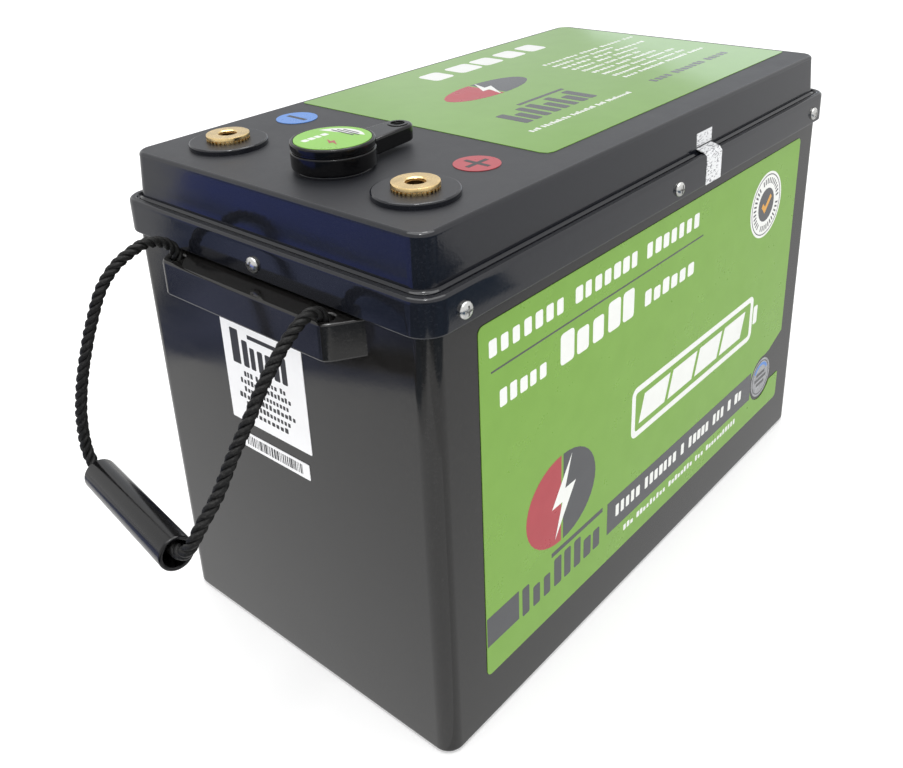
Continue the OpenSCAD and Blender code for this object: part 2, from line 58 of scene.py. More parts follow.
def make_camera():
    """The camera at the reference viewing angle."""
    azimuth, down, roll = math.radians(41.756), math.radians(22.320), math.radians(-2.452)
    level_length = math.cos(down)
    forward = Vector((level_length * math.cos(azimuth), level_length * math.sin(azimuth), -math.sin(down)))
    level = forward.cross(Vector((0, 0, 1))).normalized()
    up = level.cross(forward)
    right = level * math.cos(roll) + up * math.sin(roll)
    up = up * math.cos(roll) - level * math.sin(roll)
    data = bpy.data.cameras.new("camera")
    data.sensor_width, data.lens, data.shift_y = 36.0, 39.674, -0.165
    data.clip_start, data.clip_end = 0.01, 50
    camera = bpy.data.objects.new("camera", data)
    SCENE.objects.link(camera)
    axes = Matrix((right, up, -forward)).transposed().to_4x4()
    camera.matrix_world = Matrix.Translation((-0.39102, -0.30164, 0.36773)) @ axes
    bpy.context.scene.camera = camera


make_camera()


# ---------------------------------------------------------------- materials

class Nodes:
    """A small wrapper that builds one material's node tree."""

    def __init__(self, name, color, roughness, metallic=0.0, **sockets):
        self.material = bpy.data.materials.new(name)
        self.material.use_nodes = True
        self.tree = self.material.node_tree
        self.bsdf = self.tree.nodes["Principled BSDF"]
        self.bsdf.inputs["Base Color"].default_value = (*color, 1)
        self.bsdf.inputs["Roughness"].default_value = roughness
        self.bsdf.inputs["Metallic"].default_value = metallic
        for key, value in sockets.items():
            self.bsdf.inputs[key.replace("_", " ")].default_value = value
        self.height = None

    def add(self, kind, **values):
        """A new node of this kind, with its properties or inputs set."""
        node = self.tree.nodes.new("ShaderNode" + kind)
        for key, value in values.items():
            if hasattr(node, key):
                setattr(node, key, value)
            else:
                node.inputs[key.replace("_", " ")].default_value = value
        return node

    def link(self, a, b):
        """Joins an output to an input."""
        self.tree.links.new(a, b)

    def coords(self, scale=(1, 1, 1)):
        """Object coordinates, stretched."""
        place = self.add("TexCoord")
        mapping = self.add("Mapping", Scale=scale)
        self.link(place.outputs["Object"], mapping.inputs["Vector"])
        return mapping.outputs["Vector"]

    def noise(self, scale, detail=3.0, stretch=(1, 1, 1), rough=0.55):
        """A noise value that is fixed to the object."""
        node = self.add("TexNoise", Scale=scale, Detail=detail, Roughness=rough)
        self.link(self.coords(stretch), node.inputs["Vector"])
        return node.outputs["Fac"]

    def ramp(self, factor, low, high, stops=(0.35, 0.65)):
        """A value from low to high as the factor passes between the two stops."""
        node = self.add("MapRange")
        node.inputs["From Min"].default_value, node.inputs["From Max"].default_value = stops
        node.inputs["To Min"].default_value, node.inputs["To Max"].default_value = low, high
        self.link(factor, node.inputs["Value"])
        return node.outputs["Result"]

    def mix(self, factor, a, b):
        """A colour between two colours."""
        node = self.add("Mix", data_type="RGBA")
        node.inputs[6].default_value, node.inputs[7].default_value = (*a, 1), (*b, 1)
        self.link(factor, node.inputs[0])
        return node.outputs[2]

    def color(self, output):
        """Uses an output as the base colour."""
        self.link(output, self.bsdf.inputs["Base Color"])
        return self

    def roughness(self, output):
        """Uses an output as the roughness."""
        self.link(output, self.bsdf.inputs["Roughness"])
        return self

    def bump(self, height, strength, distance):
        """Adds relief on top of any relief so far."""
        node = self.add("Bump", Strength=strength, Distance=distance)
        self.link(height, node.inputs["Height"])
        if self.height:
            self.link(self.height, node.inputs["Normal"])
        self.height = node.outputs["Normal"]
        self.link(self.height, self.bsdf.inputs["Normal"])
        return self


def gloss_plastic(name, color, low, high, wave=0.25, specular=0.5, top=0.0):
    """Polished moulding: wavy skin, fine scuffs, a trace of dust, and upward faces rougher by top."""
    m = Nodes(name, color, (low + high) / 2, Specular_IOR_Level=specular)
    scuff = m.noise(45, 8, (1, 1, 3), 0.7)
    rough = m.ramp(scuff, low, high, (0.3, 0.7))
    if top:
        parts, total = m.add("SeparateXYZ"), m.add("Math", operation="ADD")
        m.link(m.add("NewGeometry").outputs["Normal"], parts.inputs[0])
        m.link(rough, total.inputs[0])
        m.link(m.ramp(parts.outputs["Z"], 0, top, (0.97, 0.998)), total.inputs[1])
        rough = total.outputs[0]
    m.roughness(rough)
    speck = m.noise(900, 2, (1, 1, 1), 0.5)
    lighter = tuple(c * 1.3 + 0.004 for c in color)
    m.color(m.mix(m.ramp(speck, 0, 1, (0.52, 0.78)), color, lighter))
    m.bump(m.noise(14, 1.5), wave, 0.002)
    m.bump(m.noise(700, 2), 0.05, 0.0002)
    return m.material


def metal(name, color, roughness, turned=None, brushed=None, wear=0.3):
    """Bare metal with tone changes, and turned rings or brushed lines where they are asked for."""
    m = Nodes(name, color, roughness, metallic=1.0)
    tone = m.noise(160, 5)
    dark = tuple(c * (1 - wear) for c in color)
    m.color(m.mix(m.ramp(tone, 0, 1, (0.35, 0.7)), color, dark))
    m.roughness(m.ramp(m.noise(420, 4), roughness * 0.7, roughness * 1.5, (0.3, 0.7)))
    if brushed:
        m.bump(m.noise(500, 4, brushed), 0.2, 0.0002)
    if turned:
        m.bump(m.noise(2500, 3, turned), 0.15, 0.0001)
    return m.material


def matte(name, color, roughness=0.55, grain=600, bump=0.15, spread=0.15):
    """A dull moulded, printed or foamed surface with grain in tone and relief."""
    m = Nodes(name, color, roughness)
    other = tuple(c * (1 - spread) for c in color)
    m.color(m.mix(m.ramp(m.noise(grain * 0.2, 6), 0, 1), color, other))
    m.roughness(m.ramp(m.noise(grain * 0.4, 4), roughness * 0.85, min(1, roughness * 1.15)))
    m.bump(m.noise(grain, 3), bump, 0.0004)
    return m.material


def printed(name, color, roughness=0.3, spread=0.04, wave=0.12):
    """Printed vinyl: an even ink with a faint mottle, a satin film and slight waves in the film."""
    m = Nodes(name, color, roughness, Specular_IOR_Level=0.5)
    other = tuple(max(0, c * (1 - spread) - 0.004) for c in color)
    m.color(m.mix(m.ramp(m.noise(90, 6), 0, 1, (0.3, 0.7)), color, other))
    m.roughness(m.ramp(m.noise(35, 6, (1, 1, 1), 0.7), roughness * 0.8, roughness * 1.25, (0.3, 0.7)))
    m.bump(m.noise(25, 2), wave, 0.001)
    m.bump(m.noise(1500, 2), 0.05, 0.0001)
    return m.material


CASE = gloss_plastic("case_black", (0.0115, 0.011, 0.0105), 0.07, 0.14, 0.10)
LID = gloss_plastic("lid_black", (0.009, 0.010, 0.014), 0.06, 0.13, 0.08, 0.5, 0.38)
KEY = gloss_plastic("key_black", (0.003, 0.003, 0.0035), 0.10, 0.20, 0.08, 0.3)
GRIP = gloss_plastic("grip_black", (0.004, 0.004, 0.0045), 0.12, 0.24, 0.25, 0.35)
BRASS = metal("brass", (0.88, 0.65, 0.31), 0.2, turned=(1, 1, 0.2), wear=0.25)
# a darker copy of the brass for the thread inside the bore: painted shade in the hole
BRASS_PAINTED_SHADE = metal("brass_bore_painted_shade", (0.26, 0.15, 0.05), 0.35, wear=0.4)
STEEL = metal("zinc", (0.72, 0.72, 0.70), 0.24, wear=0.3)
GREEN = printed("label_green", (0.190, 0.385, 0.045))
GREEN_TOP = printed("label_green_top", (0.200, 0.385, 0.070), 0.07, wave=0.05)
GREEN_KEY = printed("label_green_key", (0.250, 0.560, 0.070), 0.3)
WHITE = printed("ink_white", (0.86, 0.87, 0.84), 0.15)
DARK_INK = printed("ink_dark", (0.070, 0.072, 0.078), 0.15)
BLACK_INK = printed("ink_black", (0.012, 0.012, 0.014), 0.35)
RED_INK = printed("ink_red", (0.43, 0.045, 0.06), 0.3)
BLUE_INK = printed("ink_blue", (0.09, 0.25, 0.66), 0.3)
AMBER_INK = printed("ink_amber", (0.75, 0.36, 0.04), 0.3)
PAPER = printed("sticker_white", (0.93, 0.93, 0.94), 0.42, 0.03)
SILVER = metal("foil_silver", (0.62, 0.63, 0.65), 0.3, wear=0.35)


# ---------------------------------------------------------------- mesh helpers

def add_object(name, mesh, material, body, *replaced, slot=None):
    """Links a finished mesh, lets it ride on its body and hides the CAD nodes it stands for."""
    ob = bpy.data.objects.new(name, mesh)
    SCENE.objects.link(ob)
    for m in material if isinstance(material, list) else [material]:
        mesh.materials.append(m)
    if body:
        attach(ob, body)
    if replaced:
        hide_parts(*replaced)
    return ob


def smooth(ob, weighted=True, angle=None):
    """Smooth shading that keeps large flat faces flat."""
    for p in ob.data.polygons:
        p.use_smooth = True
    if angle:
        ob.data.set_sharp_from_angle(angle=math.radians(angle))
    if weighted:
        mod = ob.modifiers.new("normals", "WEIGHTED_NORMAL")
        mod.keep_sharp = True
        mod.weight = 90
    return ob


def polar(cx, cy, r, degrees):
    """The point at a radius and an angle from a centre."""
    t = math.radians(degrees)
    return cx + r * math.cos(t), cy + r * math.sin(t)


def arc(cx, cy, r, start, end, n=5):
    """Points of an arc between two angles in degrees."""
    return [polar(cx, cy, r, start + (end - start) * i / n) for i in range(n + 1)]


def circle(cx, cy, r, n=48):
    """A closed loop of n points round a centre."""
    return [polar(cx, cy, r, 360 * i / n) for i in range(n)]


def rounded_rect(length, width, r, n=8):
    """Points of a rounded rectangle about the origin, anticlockwise."""
    points = []
    for cx, cy, start in ((1, 1, 0), (-1, 1, 90), (-1, -1, 180), (1, -1, 270)):
        points += arc(cx * (length / 2 - r), cy * (width / 2 - r), r, start, start + 90, n)
    return points


def rect(x0, y0, x1, y1, r=0.0, n=4):
    """A rectangle loop from two corners, with rounded corners if r is given."""
    if not r:
        return [(x0, y0), (x1, y0), (x1, y1), (x0, y1)]
    return [(x + (x0 + x1) / 2, y + (y0 + y1) / 2) for x, y in rounded_rect(x1 - x0, y1 - y0, r, n)]


def plus_sign(arm, half):
    """A plus sign about the origin: the reach of its arms and half their width."""
    return [(-half, -arm), (half, -arm), (half, -half), (arm, -half), (arm, half), (half, half),
            (half, arm), (-half, arm), (-half, half), (-arm, half), (-arm, -half), (-half, -half)]


def loft(name, rings, closed=False):
    """A solid through rings of equal point counts, in mm: capped, or closed from its last ring to first."""
    bm = bmesh.new()
    rows = [[bm.verts.new(Vector(p) * MM) for p in ring] for ring in rings]
    n = len(rows[0])
    pairs = list(zip(rows, rows[1:])) + ([(rows[-1], rows[0])] if closed else [])
    for low, high in pairs:
        for i in range(n):
            bm.faces.new((low[i], low[(i + 1) % n], high[(i + 1) % n], high[i]))
    if not closed:
        bm.faces.new(rows[0][::-1])
        bm.faces.new(rows[-1])
    bmesh.ops.recalc_face_normals(bm, faces=bm.faces)
    mesh = bpy.data.meshes.new(name)
    bm.to_mesh(mesh)
    bm.free()
    return mesh


def turned(name, profile, centre=(0, 0), sides=64, wobble=None):
    """A solid of revolution about a vertical axis. profile is [(radius, z)] in mm, a closed outline."""
    rings = []
    for r, z in profile:
        ring = []
        for i in range(sides):
            t = 2 * math.pi * i / sides
            rr = r + (wobble(i, r, z) if wobble else 0)
            ring.append((centre[0] + rr * math.cos(t), centre[1] + rr * math.sin(t), z))
        rings.append(ring)
    return loft(name, rings, closed=True)


def plate(name, loops, thickness, bevel=0.0, resolution=2):
    """A flat plate from z 0 to thickness: loops are closed outlines in mm, and the inner ones are holes."""
    curve = bpy.data.curves.new(name, "CURVE")
    curve.dimensions, curve.fill_mode = "2D", "BOTH"
    curve.extrude = max((thickness / 2 - bevel) * MM, 1e-7)
    curve.bevel_depth, curve.bevel_resolution = bevel * MM, resolution
    curve.offset = -bevel * MM
    for loop in loops:
        spline = curve.splines.new("POLY")
        spline.points.add(len(loop) - 1)
        for p, (x, y) in zip(spline.points, loop):
            p.co = (x * MM, y * MM, 0, 1)
        spline.use_cyclic_u = True
    temp = bpy.data.objects.new(name + "_temp", curve)
    SCENE.objects.link(temp)
    bpy.context.view_layer.update()
    mesh = bpy.data.meshes.new_from_object(temp.evaluated_get(bpy.context.evaluated_depsgraph_get()))
    bpy.data.objects.remove(temp)
    bpy.data.curves.remove(curve)
    mesh.name = name
    mesh.materials.clear()
    mesh.transform(Matrix.Translation((0, 0, thickness / 2 * MM)))
    bm = bmesh.new()
    bm.from_mesh(mesh)
    bmesh.ops.remove_doubles(bm, verts=bm.verts, dist=1e-7)
    bm.to_mesh(mesh)
    bm.free()
    return mesh


def merged(name, meshes):
    """One mesh from several (mesh, matrix) pairs, material slots kept by index."""
    bm = bmesh.new()
    for mesh, matrix in meshes:
        part = mesh.copy()
        part.transform(matrix)
        bm.from_mesh(part)
        bpy.data.meshes.remove(part)
    mesh = bpy.data.meshes.new(name)
    bm.to_mesh(mesh)
    bm.free()
    return mesh


def on_face(origin, u, v):
    """The matrix that lays XY shapes on a face: u and v are the face's directions for X and Y."""
    u, v = Vector(u).normalized(), Vector(v).normalized()
    m = Matrix((u, v, u.cross(v))).transposed().to_4x4()
    return Matrix.Translation(Vector(origin) * MM) @ m


# ---------------------------------------------------------------- the rope of the handle

ROPE_D = 5.0
ROPE_PITCH = 11.5
HOLE_X, HOLE_Y, HOLE_R = 176.8, 47.0, 3.1
ROUTE = [
    (-176.8, 47, 188), (-176.8, 47, 194), (-176.8, 47, 200.5), (-177.5, 47, 205.3), (-180.3, 47, 209),
    (-185, 47, 211.9), (-190.8, 47, 213.2), (-196, 47, 212.3), (-201.8, 47.5, 210), (-206.8, 47.5, 207.2),
    (-211.5, 47.5, 203), (-215.3, 47.5, 197.8), (-218.6, 47.5, 191.2), (-221.4, 48, 184.5),
    (-223.9, 48, 178.2), (-226.4, 48, 171.5), (-228.6, 48, 164.5), (-230.2, 48.3, 157.5),
    (-231.4, 48.5, 150.5), (-232.1, 48.5, 142.6), (-232.5, 47.8, 136), (-232.7, 45.6, 131.4),
    (-233, 42, 129.1), (-233.5, 36, 128.6), (-236.8, 18, 130.5), (-240.2, 0, 132.4), (-243.6, -18, 134.3),
    (-246.9, -35, 136), (-247.7, -40.3, 136.9), (-247.8, -44.2, 139), (-246.9, -46.8, 142.4),
    (-244.8, -48, 146.2), (-241.5, -48, 149.6), (-237.2, -48, 153.6), (-233.1, -47.7, 157.6),
    (-228.8, -47.5, 163.4), (-224.8, -47.5, 168.9), (-220.3, -47.5, 174.4), (-216.3, -47.5, 179.3),
    (-212.2, -47.3, 184.6), (-207.6, -47.2, 190), (-202.3, -47.1, 195.3), (-196.8, -47, 200),
    (-191.8, -47, 203.6), (-187.6, -47, 205.7), (-184, -47, 206.4), (-180.9, -47, 205.4),
    (-178.6, -47, 202.9), (-177.3, -47, 199.3), (-176.8, -47, 195), (-176.8, -47, 188),
]


def spline_points(points, step):
    """Evenly spaced points on a centripetal curve through the given ones, in mm."""
    p = [Vector(q) for q in points]
    p = [p[0] * 2 - p[1]] + p + [p[-1] * 2 - p[-2]]
    dense = []
    for i in range(1, len(p) - 2):
        for k in range(16):
            t = k / 16
            a, b, c, d = p[i - 1], p[i], p[i + 1], p[i + 2]
            dense.append(0.5 * (2 * b + (c - a) * t + (2 * a - 5 * b + 4 * c - d) * t * t
                                + (3 * b - 3 * c + d - a) * t ** 3))
    dense.append(p[-2])
    for _ in range(6):
        dense = [dense[0]] + [(dense[i - 1] + dense[i] * 2 + dense[i + 1]) / 4
                              for i in range(1, len(dense) - 1)] + [dense[-1]]
    lengths = [0.0]
    for a, b in zip(dense, dense[1:]):
        lengths.append(lengths[-1] + (b - a).length)
    count = round(lengths[-1] / step)
    out, j = [], 0
    for i in range(count + 1):
        s = lengths[-1] * i / count
        while j < len(lengths) - 2 and lengths[j + 1] < s:
            j += 1
        t = (s - lengths[j]) / max(lengths[j + 1] - lengths[j], 1e-9)
        out.append(dense[j].lerp(dense[j + 1], t))
    return out, lengths[-1]


def carried_frames(points):
    """Tangent and two side vectors at each point, carried along without twist."""
    frames, side = [], Vector((0, 1, 0))
    for i, _ in enumerate(points):
        t = (points[min(i + 1, len(points) - 1)] - points[max(i - 1, 0)]).normalized()
        side = (side - t * side.dot(t)).normalized()
        frames.append((t, side, t.cross(side)))
    return frames


def rope_mesh(name, centre, diameter, pitch):
    """Three strands laid round the centreline, each with ribs for its yarns, which twist the other way."""
    frames = carried_frames(centre)
    strand_r, helix_r = diameter * 0.25, diameter * 0.252
    sides, yarns = 24, 6
    step = (centre[1] - centre[0]).length
    bm = bmesh.new()
    for strand in range(3):
        line = []
        for i, (p, (_, a, b)) in enumerate(zip(centre, frames)):
            angle = 2 * math.pi * (strand / 3 + i * step / pitch)
            line.append(p + (a * math.cos(angle) + b * math.sin(angle)) * helix_r)
        rows = []
        local = carried_frames(line)
        for i, (p, (_, a, b)) in enumerate(zip(line, local)):
            ring = []
            for k in range(sides):
                angle = 2 * math.pi * k / sides
                rib = 1 + 0.06 * math.cos(yarns * (angle + 2 * math.pi * i * step / (pitch * 0.62)))
                out = (a * math.cos(angle) + b * math.sin(angle)) * strand_r * rib
                ring.append(bm.verts.new((p + out) * MM))
            rows.append(ring)
        for low, high in zip(rows, rows[1:]):
            for k in range(sides):
                bm.faces.new((low[k], low[(k + 1) % sides], high[(k + 1) % sides], high[k]))
        bm.faces.new(rows[0][::-1])
        bm.faces.new(rows[-1])
    bmesh.ops.recalc_face_normals(bm, faces=bm.faces)
    mesh = bpy.data.meshes.new(name)
    bm.to_mesh(mesh)
    bm.free()
    return mesh


def rope_material():
    """Black polypropylene fibres: a dull, hairy surface, with lighter flecks painted into the colour as
    glints.
    """
    m = Nodes("rope_fibre", (0.004, 0.004, 0.004), 0.45, Specular_IOR_Level=0.25)
    # the lighter flecks in the fibre colour are painted glints
    glint_specks = m.ramp(m.noise(1400, 6, (1, 1, 1), 0.7), 0, 1, (0.50, 0.72))
    m.color(m.mix(glint_specks, (0.003, 0.003, 0.003), (0.034, 0.034, 0.032)))
    m.roughness(m.ramp(m.noise(900, 4), 0.35, 0.65))
    m.bump(m.noise(2200, 5, (1, 1, 1), 0.7), 0.6, 0.0003)
    return m.material


rope_line, rope_length = spline_points(ROUTE, 0.9)
strands = rope_mesh("rope_strands", rope_line, ROPE_D, ROPE_PITCH)
rope = add_object("rope_strands", strands, rope_material(), None, "handle_rope", "rope_stubs",
                  slot="rope_fibre")
smooth(rope, weighted=False)
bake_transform(rope)


# ---------------------------------------------------------------- the tube grip on the rope

def make_grip():
    """A thick moulded tube with rounded lips, a straight bore and a faint flat along it."""
    a, b = Vector((-233.1, 39, 126.6)), Vector((-247.3, -37.5, 134.6))
    length, outer, inner = (b - a).length, 6.7, 4.95
    lip = (outer - inner) / 2
    profile = (arc(inner + lip, lip, lip, 180, 270) + arc(outer - lip, lip, lip, 270, 360)
               + [(outer, length * k / 8) for k in range(1, 8)]
               + arc(outer - lip, length - lip, lip, 0, 90) + arc(inner + lip, length - lip, lip, 90, 180)
               + [(inner, length * k / 8) for k in range(7, 0, -1)])
    outline = [p for i, p in enumerate(profile) if i == 0 or math.dist(p, profile[i - 1]) > 1e-4]
    sides, flat = 72, 0.1
    mesh = turned("grip_tube", outline, sides=sides, wobble=lambda i, r, z:
                  -flat * (1 - math.cos(4 * math.pi * i / sides)) / 2 if r > outer - 0.4 else 0)
    axis = (b - a).normalized()
    mesh.transform(Matrix.Translation(a * MM) @ axis.to_track_quat("Z", "Y").to_matrix().to_4x4())
    return smooth(add_object("grip_tube", mesh, GRIP, "grip", "handle_grip", slot="grip_plastic"), angle=40)


grip = make_grip()


# ---------------------------------------------------------------- the tub

DRAFT_HEIGHT = 214.5


def tub_ring(inset, r, z, length=339.0, width=182.0):
    """A level ring of the tub, whose walls lean out by 1 mm over DRAFT_HEIGHT."""
    off = 2 * (1.0 - z / DRAFT_HEIGHT + inset)
    return [(x, y, z) for x, y in rounded_rect(length - off, width - off, r, 10)]


def make_tub():
    """The tub with a rounded foot, drafted walls, an open top and its inner walls."""
    foot, corner = 2.6, 8
    rings = [tub_ring(foot - x, corner - foot + x, foot + z) for x, z in arc(0, 0, foot, -90, 0, 6)]
    rings += [tub_ring(0, corner, z) for z in (10, 40, 80, 120, 160, 200, 213.2)]
    rings += [tub_ring(0.3, 7.7, 213.9), tub_ring(0.8, 7.3, 214.4)]
    for z, l0, w0 in ((214.4, 332.6, 177.8), (213.9, 331.6, 177.2), (120, 331, 177), (8, 331, 177)):
        rings.append(tub_ring(0, 5.5, z, l0, w0))
    rings.append(tub_ring(2, 4, 4.6, 331, 177))
    rings.append(tub_ring(4, 3, 4.0, 331, 177))
    mesh = loft("tub_shell", rings)
    return smooth(add_object("tub_shell", mesh, CASE, "root", "case_tub", slot="case_plastic"))


make_tub()


def make_ledge(name, side, node):
    """A rope ledge: slanted ends, soft edges and two rope holes with a rounded mouth."""
    front, root, half, flare, bottom, height = -183.0, -168.6, 50.5, 60.0, 186, 16
    corner = [(front + 3.5, -half - 2.4), (front + 1.4, -half - 0.7), (front + 0.4, -half + 0.7),
              (front, -half + 2.6)]
    outline = [(root, -flare)] + corner + [(x, -y) for x, y in corner[::-1]] + [(root, flare)]
    holes = [circle(-HOLE_X, sy * HOLE_Y, HOLE_R, 32) for sy in (-1, 1)]
    mesh = plate(name, [outline, *holes], height, 1.1, 4)
    mesh.transform(Matrix.Translation((0, 0, bottom * MM)))
    if side > 0:
        mesh.transform(Matrix.Rotation(math.pi, 4, "Z"))
    return smooth(add_object(name, mesh, CASE, "root", node, slot="case_plastic"), angle=35)


make_ledge("rope_ledge_near", -1, "ledge_near")
make_ledge("rope_ledge_far", 1, "ledge_far")


# ---------------------------------------------------------------- the lid

PANEL_Z = 240.0
BOSS_Z = 242.5


def lid_ring(ix, iy, r, z):
    """A level ring of the lid, set in from its full length and width."""
    return [(x, y, z) for x, y in rounded_rect(345 - 2 * ix, 188 - 2 * iy, r, 12)]


def make_lid():
    """The lid from the skirt's inner foot, up its face, over the shelf and groove, to the raised panel."""
    foot_z, foot_r = 203.0, 0.9
    lip_in = ((8, 4, 215.5), (2.9, 8.1, 215.5), (2.7, 8.3, 215.0), (2.7, 8.3, 204.0), (2.3, 8.7, 203.2),
              (1.2, 9.8, foot_z))
    rings = [lid_ring(x, x, r, z) for x, r, z in lip_in]
    for t in (60, 30, 0):
        x, z = polar(0, foot_z + foot_r, foot_r, -t)
        rings.append(lid_ring(foot_r - x, foot_r - x, 10.1 + x, z))
    rings += [lid_ring(0, 0, 11, z) for z in (209, 216.0, 217.2)]
    shoulder = ((0.10, 217.75), (0.38, 218.2), (0.85, 218.55), (1.4, 218.7), (2.6, 218.75), (3.1, 218.7),
                (3.3, 218.4))
    rings += [lid_ring(x, x, 11 - x, z) for x, z in shoulder]
    groove = ((3.35, 3.35, 217.8), (3.5, 3.5, 217.4), (3.9, 4.1, 217.3), (4.05, 4.35, 217.6),
              (4.1, 4.45, 218.2), (4.2, 4.6, 218.4), (4.55, 5.0, 218.55), (4.85, 5.35, 218.9))
    rings += [lid_ring(ix, iy, 8, z) for ix, iy, z in groove]
    rings += [lid_ring(5.0 + (z - 218) / 19, 5.5 + (z - 218) / 19, 8, z) for z in (219.4, 224, 230, 237.6)]
    edge_r = 1.7
    for t in (0, 12, 25, 40, 55, 70, 82, 90):
        x, z = polar(0, PANEL_Z - edge_r, edge_r, t)
        rings.append(lid_ring(6 + edge_r - x, 6.5 + edge_r - x, 8 - edge_r + x, z))
    rings += [lid_ring(10.5, 11, 4, PANEL_Z)]
    return smooth(add_object("lid_shell", loft("lid_shell", rings), LID, "root", "lid", slot="lid_plastic"))


def make_boss(sign, x, y):
    """A low round boss under a terminal, with a rounded rim."""
    profile = ([(7.3, PANEL_Z - 0.4), (17.5, PANEL_Z - 0.4), (17.5, BOSS_Z - 0.9)]
               + arc(16.7, BOSS_Z - 0.8, 0.8, 0, 90, 6)
               + [(15.8, BOSS_Z), (9.0, BOSS_Z), (7.3, BOSS_Z - 0.05)])
    mesh = turned("boss", profile, (x, y), 96)
    smooth(add_object(f"terminal_boss_{sign}", mesh, LID, "root", slot="lid_plastic"), angle=50)


make_lid()
TERMINALS = (("pos", -136, -57), ("neg", -136, 57))
for sign, x, y in TERMINALS:
    make_boss(sign, x, y)


# ---------------------------------------------------------------- brass terminals

def make_terminal(sign, x, y):
    """A brass insert: threaded bore with a lead-in, turned flange and a toothed lower rim; the thread in the
    bore is a darker brass, painted shade.
    """
    thread = [(4.05, 244.3), (4.05, 231.8), (3.45, 231.8)]
    z = 232.0
    while z < 243.2:
        thread += [(3.45, z), (3.95, z + 0.55), (3.95, z + 0.7)]
        z += 1.25
    # the thread sleeve takes the darker brass: painted shade inside the bore
    sleeve = turned(f"thread_{sign}", thread + [(3.5, 244.3)], (x, y), 48)
    smooth(add_object(f"insert_{sign}_thread", sleeve, BRASS_PAINTED_SHADE, "root", slot="terminal_brass"), angle=35)
    top = [(4.1, 231.6), (4.1, 245.0), (4.5, 245.45), (4.7, 245.5), (9.2, 245.5), (9.5, 245.4), (9.65, 245.1),
           (9.7, 243.9), (9.5, 243.7)]
    body = [(8.8, 243.6), (8.8, 242.0), (7.0, 242.0), (7.0, 238.0), (6.6, 237.5), (6.6, 229), (7.0, 228.5),
            (7.0, 226.0), (3.0, 226.0), (3.0, 231.6)]
    shell = turned("insert", top + body, (x, y), 72)
    teeth, count = [], 30
    for i in range(2 * count):
        for part, r in ((0.1, 8.8), (0.9, 8.8)) if i % 2 else ((0.0, 9.6), (1.0, 9.6)):
            teeth.append(polar(x, y, r, 180 * (i + part) / count))
    rim = plate("rim", [teeth, circle(x, y, 7.4, 48)], 1.2, 0.08, 1)
    on_boss = Matrix.Translation((0, 0, BOSS_Z * MM))
    mesh = merged(f"terminal_{sign}_brass", [(shell, Matrix()), (rim, on_boss)])
    brass = add_object(f"insert_{sign}_brass", mesh, BRASS, "root", f"terminal_{sign}", slot="terminal_brass")
    return smooth(brass, angle=35)


for sign, x, y in TERMINALS:
    make_terminal(sign, x, y)


# ---------------------------------------------------------------- screws of the lid

SCREW_Z = 209.25


def make_screws():
    """Pan heads with a cross recess, and their shanks."""
    head = [(0.01, -5.4), (1.9, -5.4), (1.9, 0.0), (3.45, 0.0), (3.5, 0.12), (3.5, 0.5)]
    head += [(3.5 * math.cos(t), 0.5 + 1.7 * math.sin(t)) for t in map(math.radians, range(12, 90, 11))]
    head += [(0.01, 2.2)]
    base = turned("screw", head, sides=40)
    body = bpy.data.objects.new("screw_body", base)
    SCENE.objects.link(body)
    cross = plate("cross", [plus_sign(2.1, 0.45)], 3.0)
    cross.transform(Matrix.Translation((0, 0, 1.0 * MM)) @ Matrix.Rotation(math.radians(20), 4, "Z"))
    cutter = bpy.data.objects.new("screw_cutter", cross)
    SCENE.objects.link(cutter)
    cut = body.modifiers.new("cut", "BOOLEAN")
    cut.operation, cut.object, cut.solver = "DIFFERENCE", cutter, "EXACT"
    bpy.context.view_layer.update()
    done = bpy.data.meshes.new_from_object(body.evaluated_get(bpy.context.evaluated_depsgraph_get()))
    for o in (body, cutter):
        bpy.data.objects.remove(o)
    places = []
    for sy in (-1, 1):
        for x in (-153, 0, 153):
            places.append(((x, sy * 94, SCREW_Z), (0, sy, 0), x * 7 + sy * 30))
    for sx in (-1, 1):
        places.append(((sx * 172.5, 0, SCREW_Z), (sx, 0, 0), 37 * sx))
    parts = []
    for at, out, spin in places:
        facing = Vector(out).to_track_quat("Z", "Y").to_matrix().to_4x4()
        turn = facing @ Matrix.Rotation(math.radians(spin), 4, "Z")
        parts.append((done, Matrix.Translation(Vector(at) * MM) @ turn))
    mesh = merged("screws", parts)
    heads = add_object("lid_screw_heads", mesh, STEEL, "root", "lid_screws", slot="zinc_steel")
    return smooth(heads, angle=35)


make_screws()


# ---------------------------------------------------------------- the switch key on its seat

KEY_X, KEY_Y = -131.5, -7.5


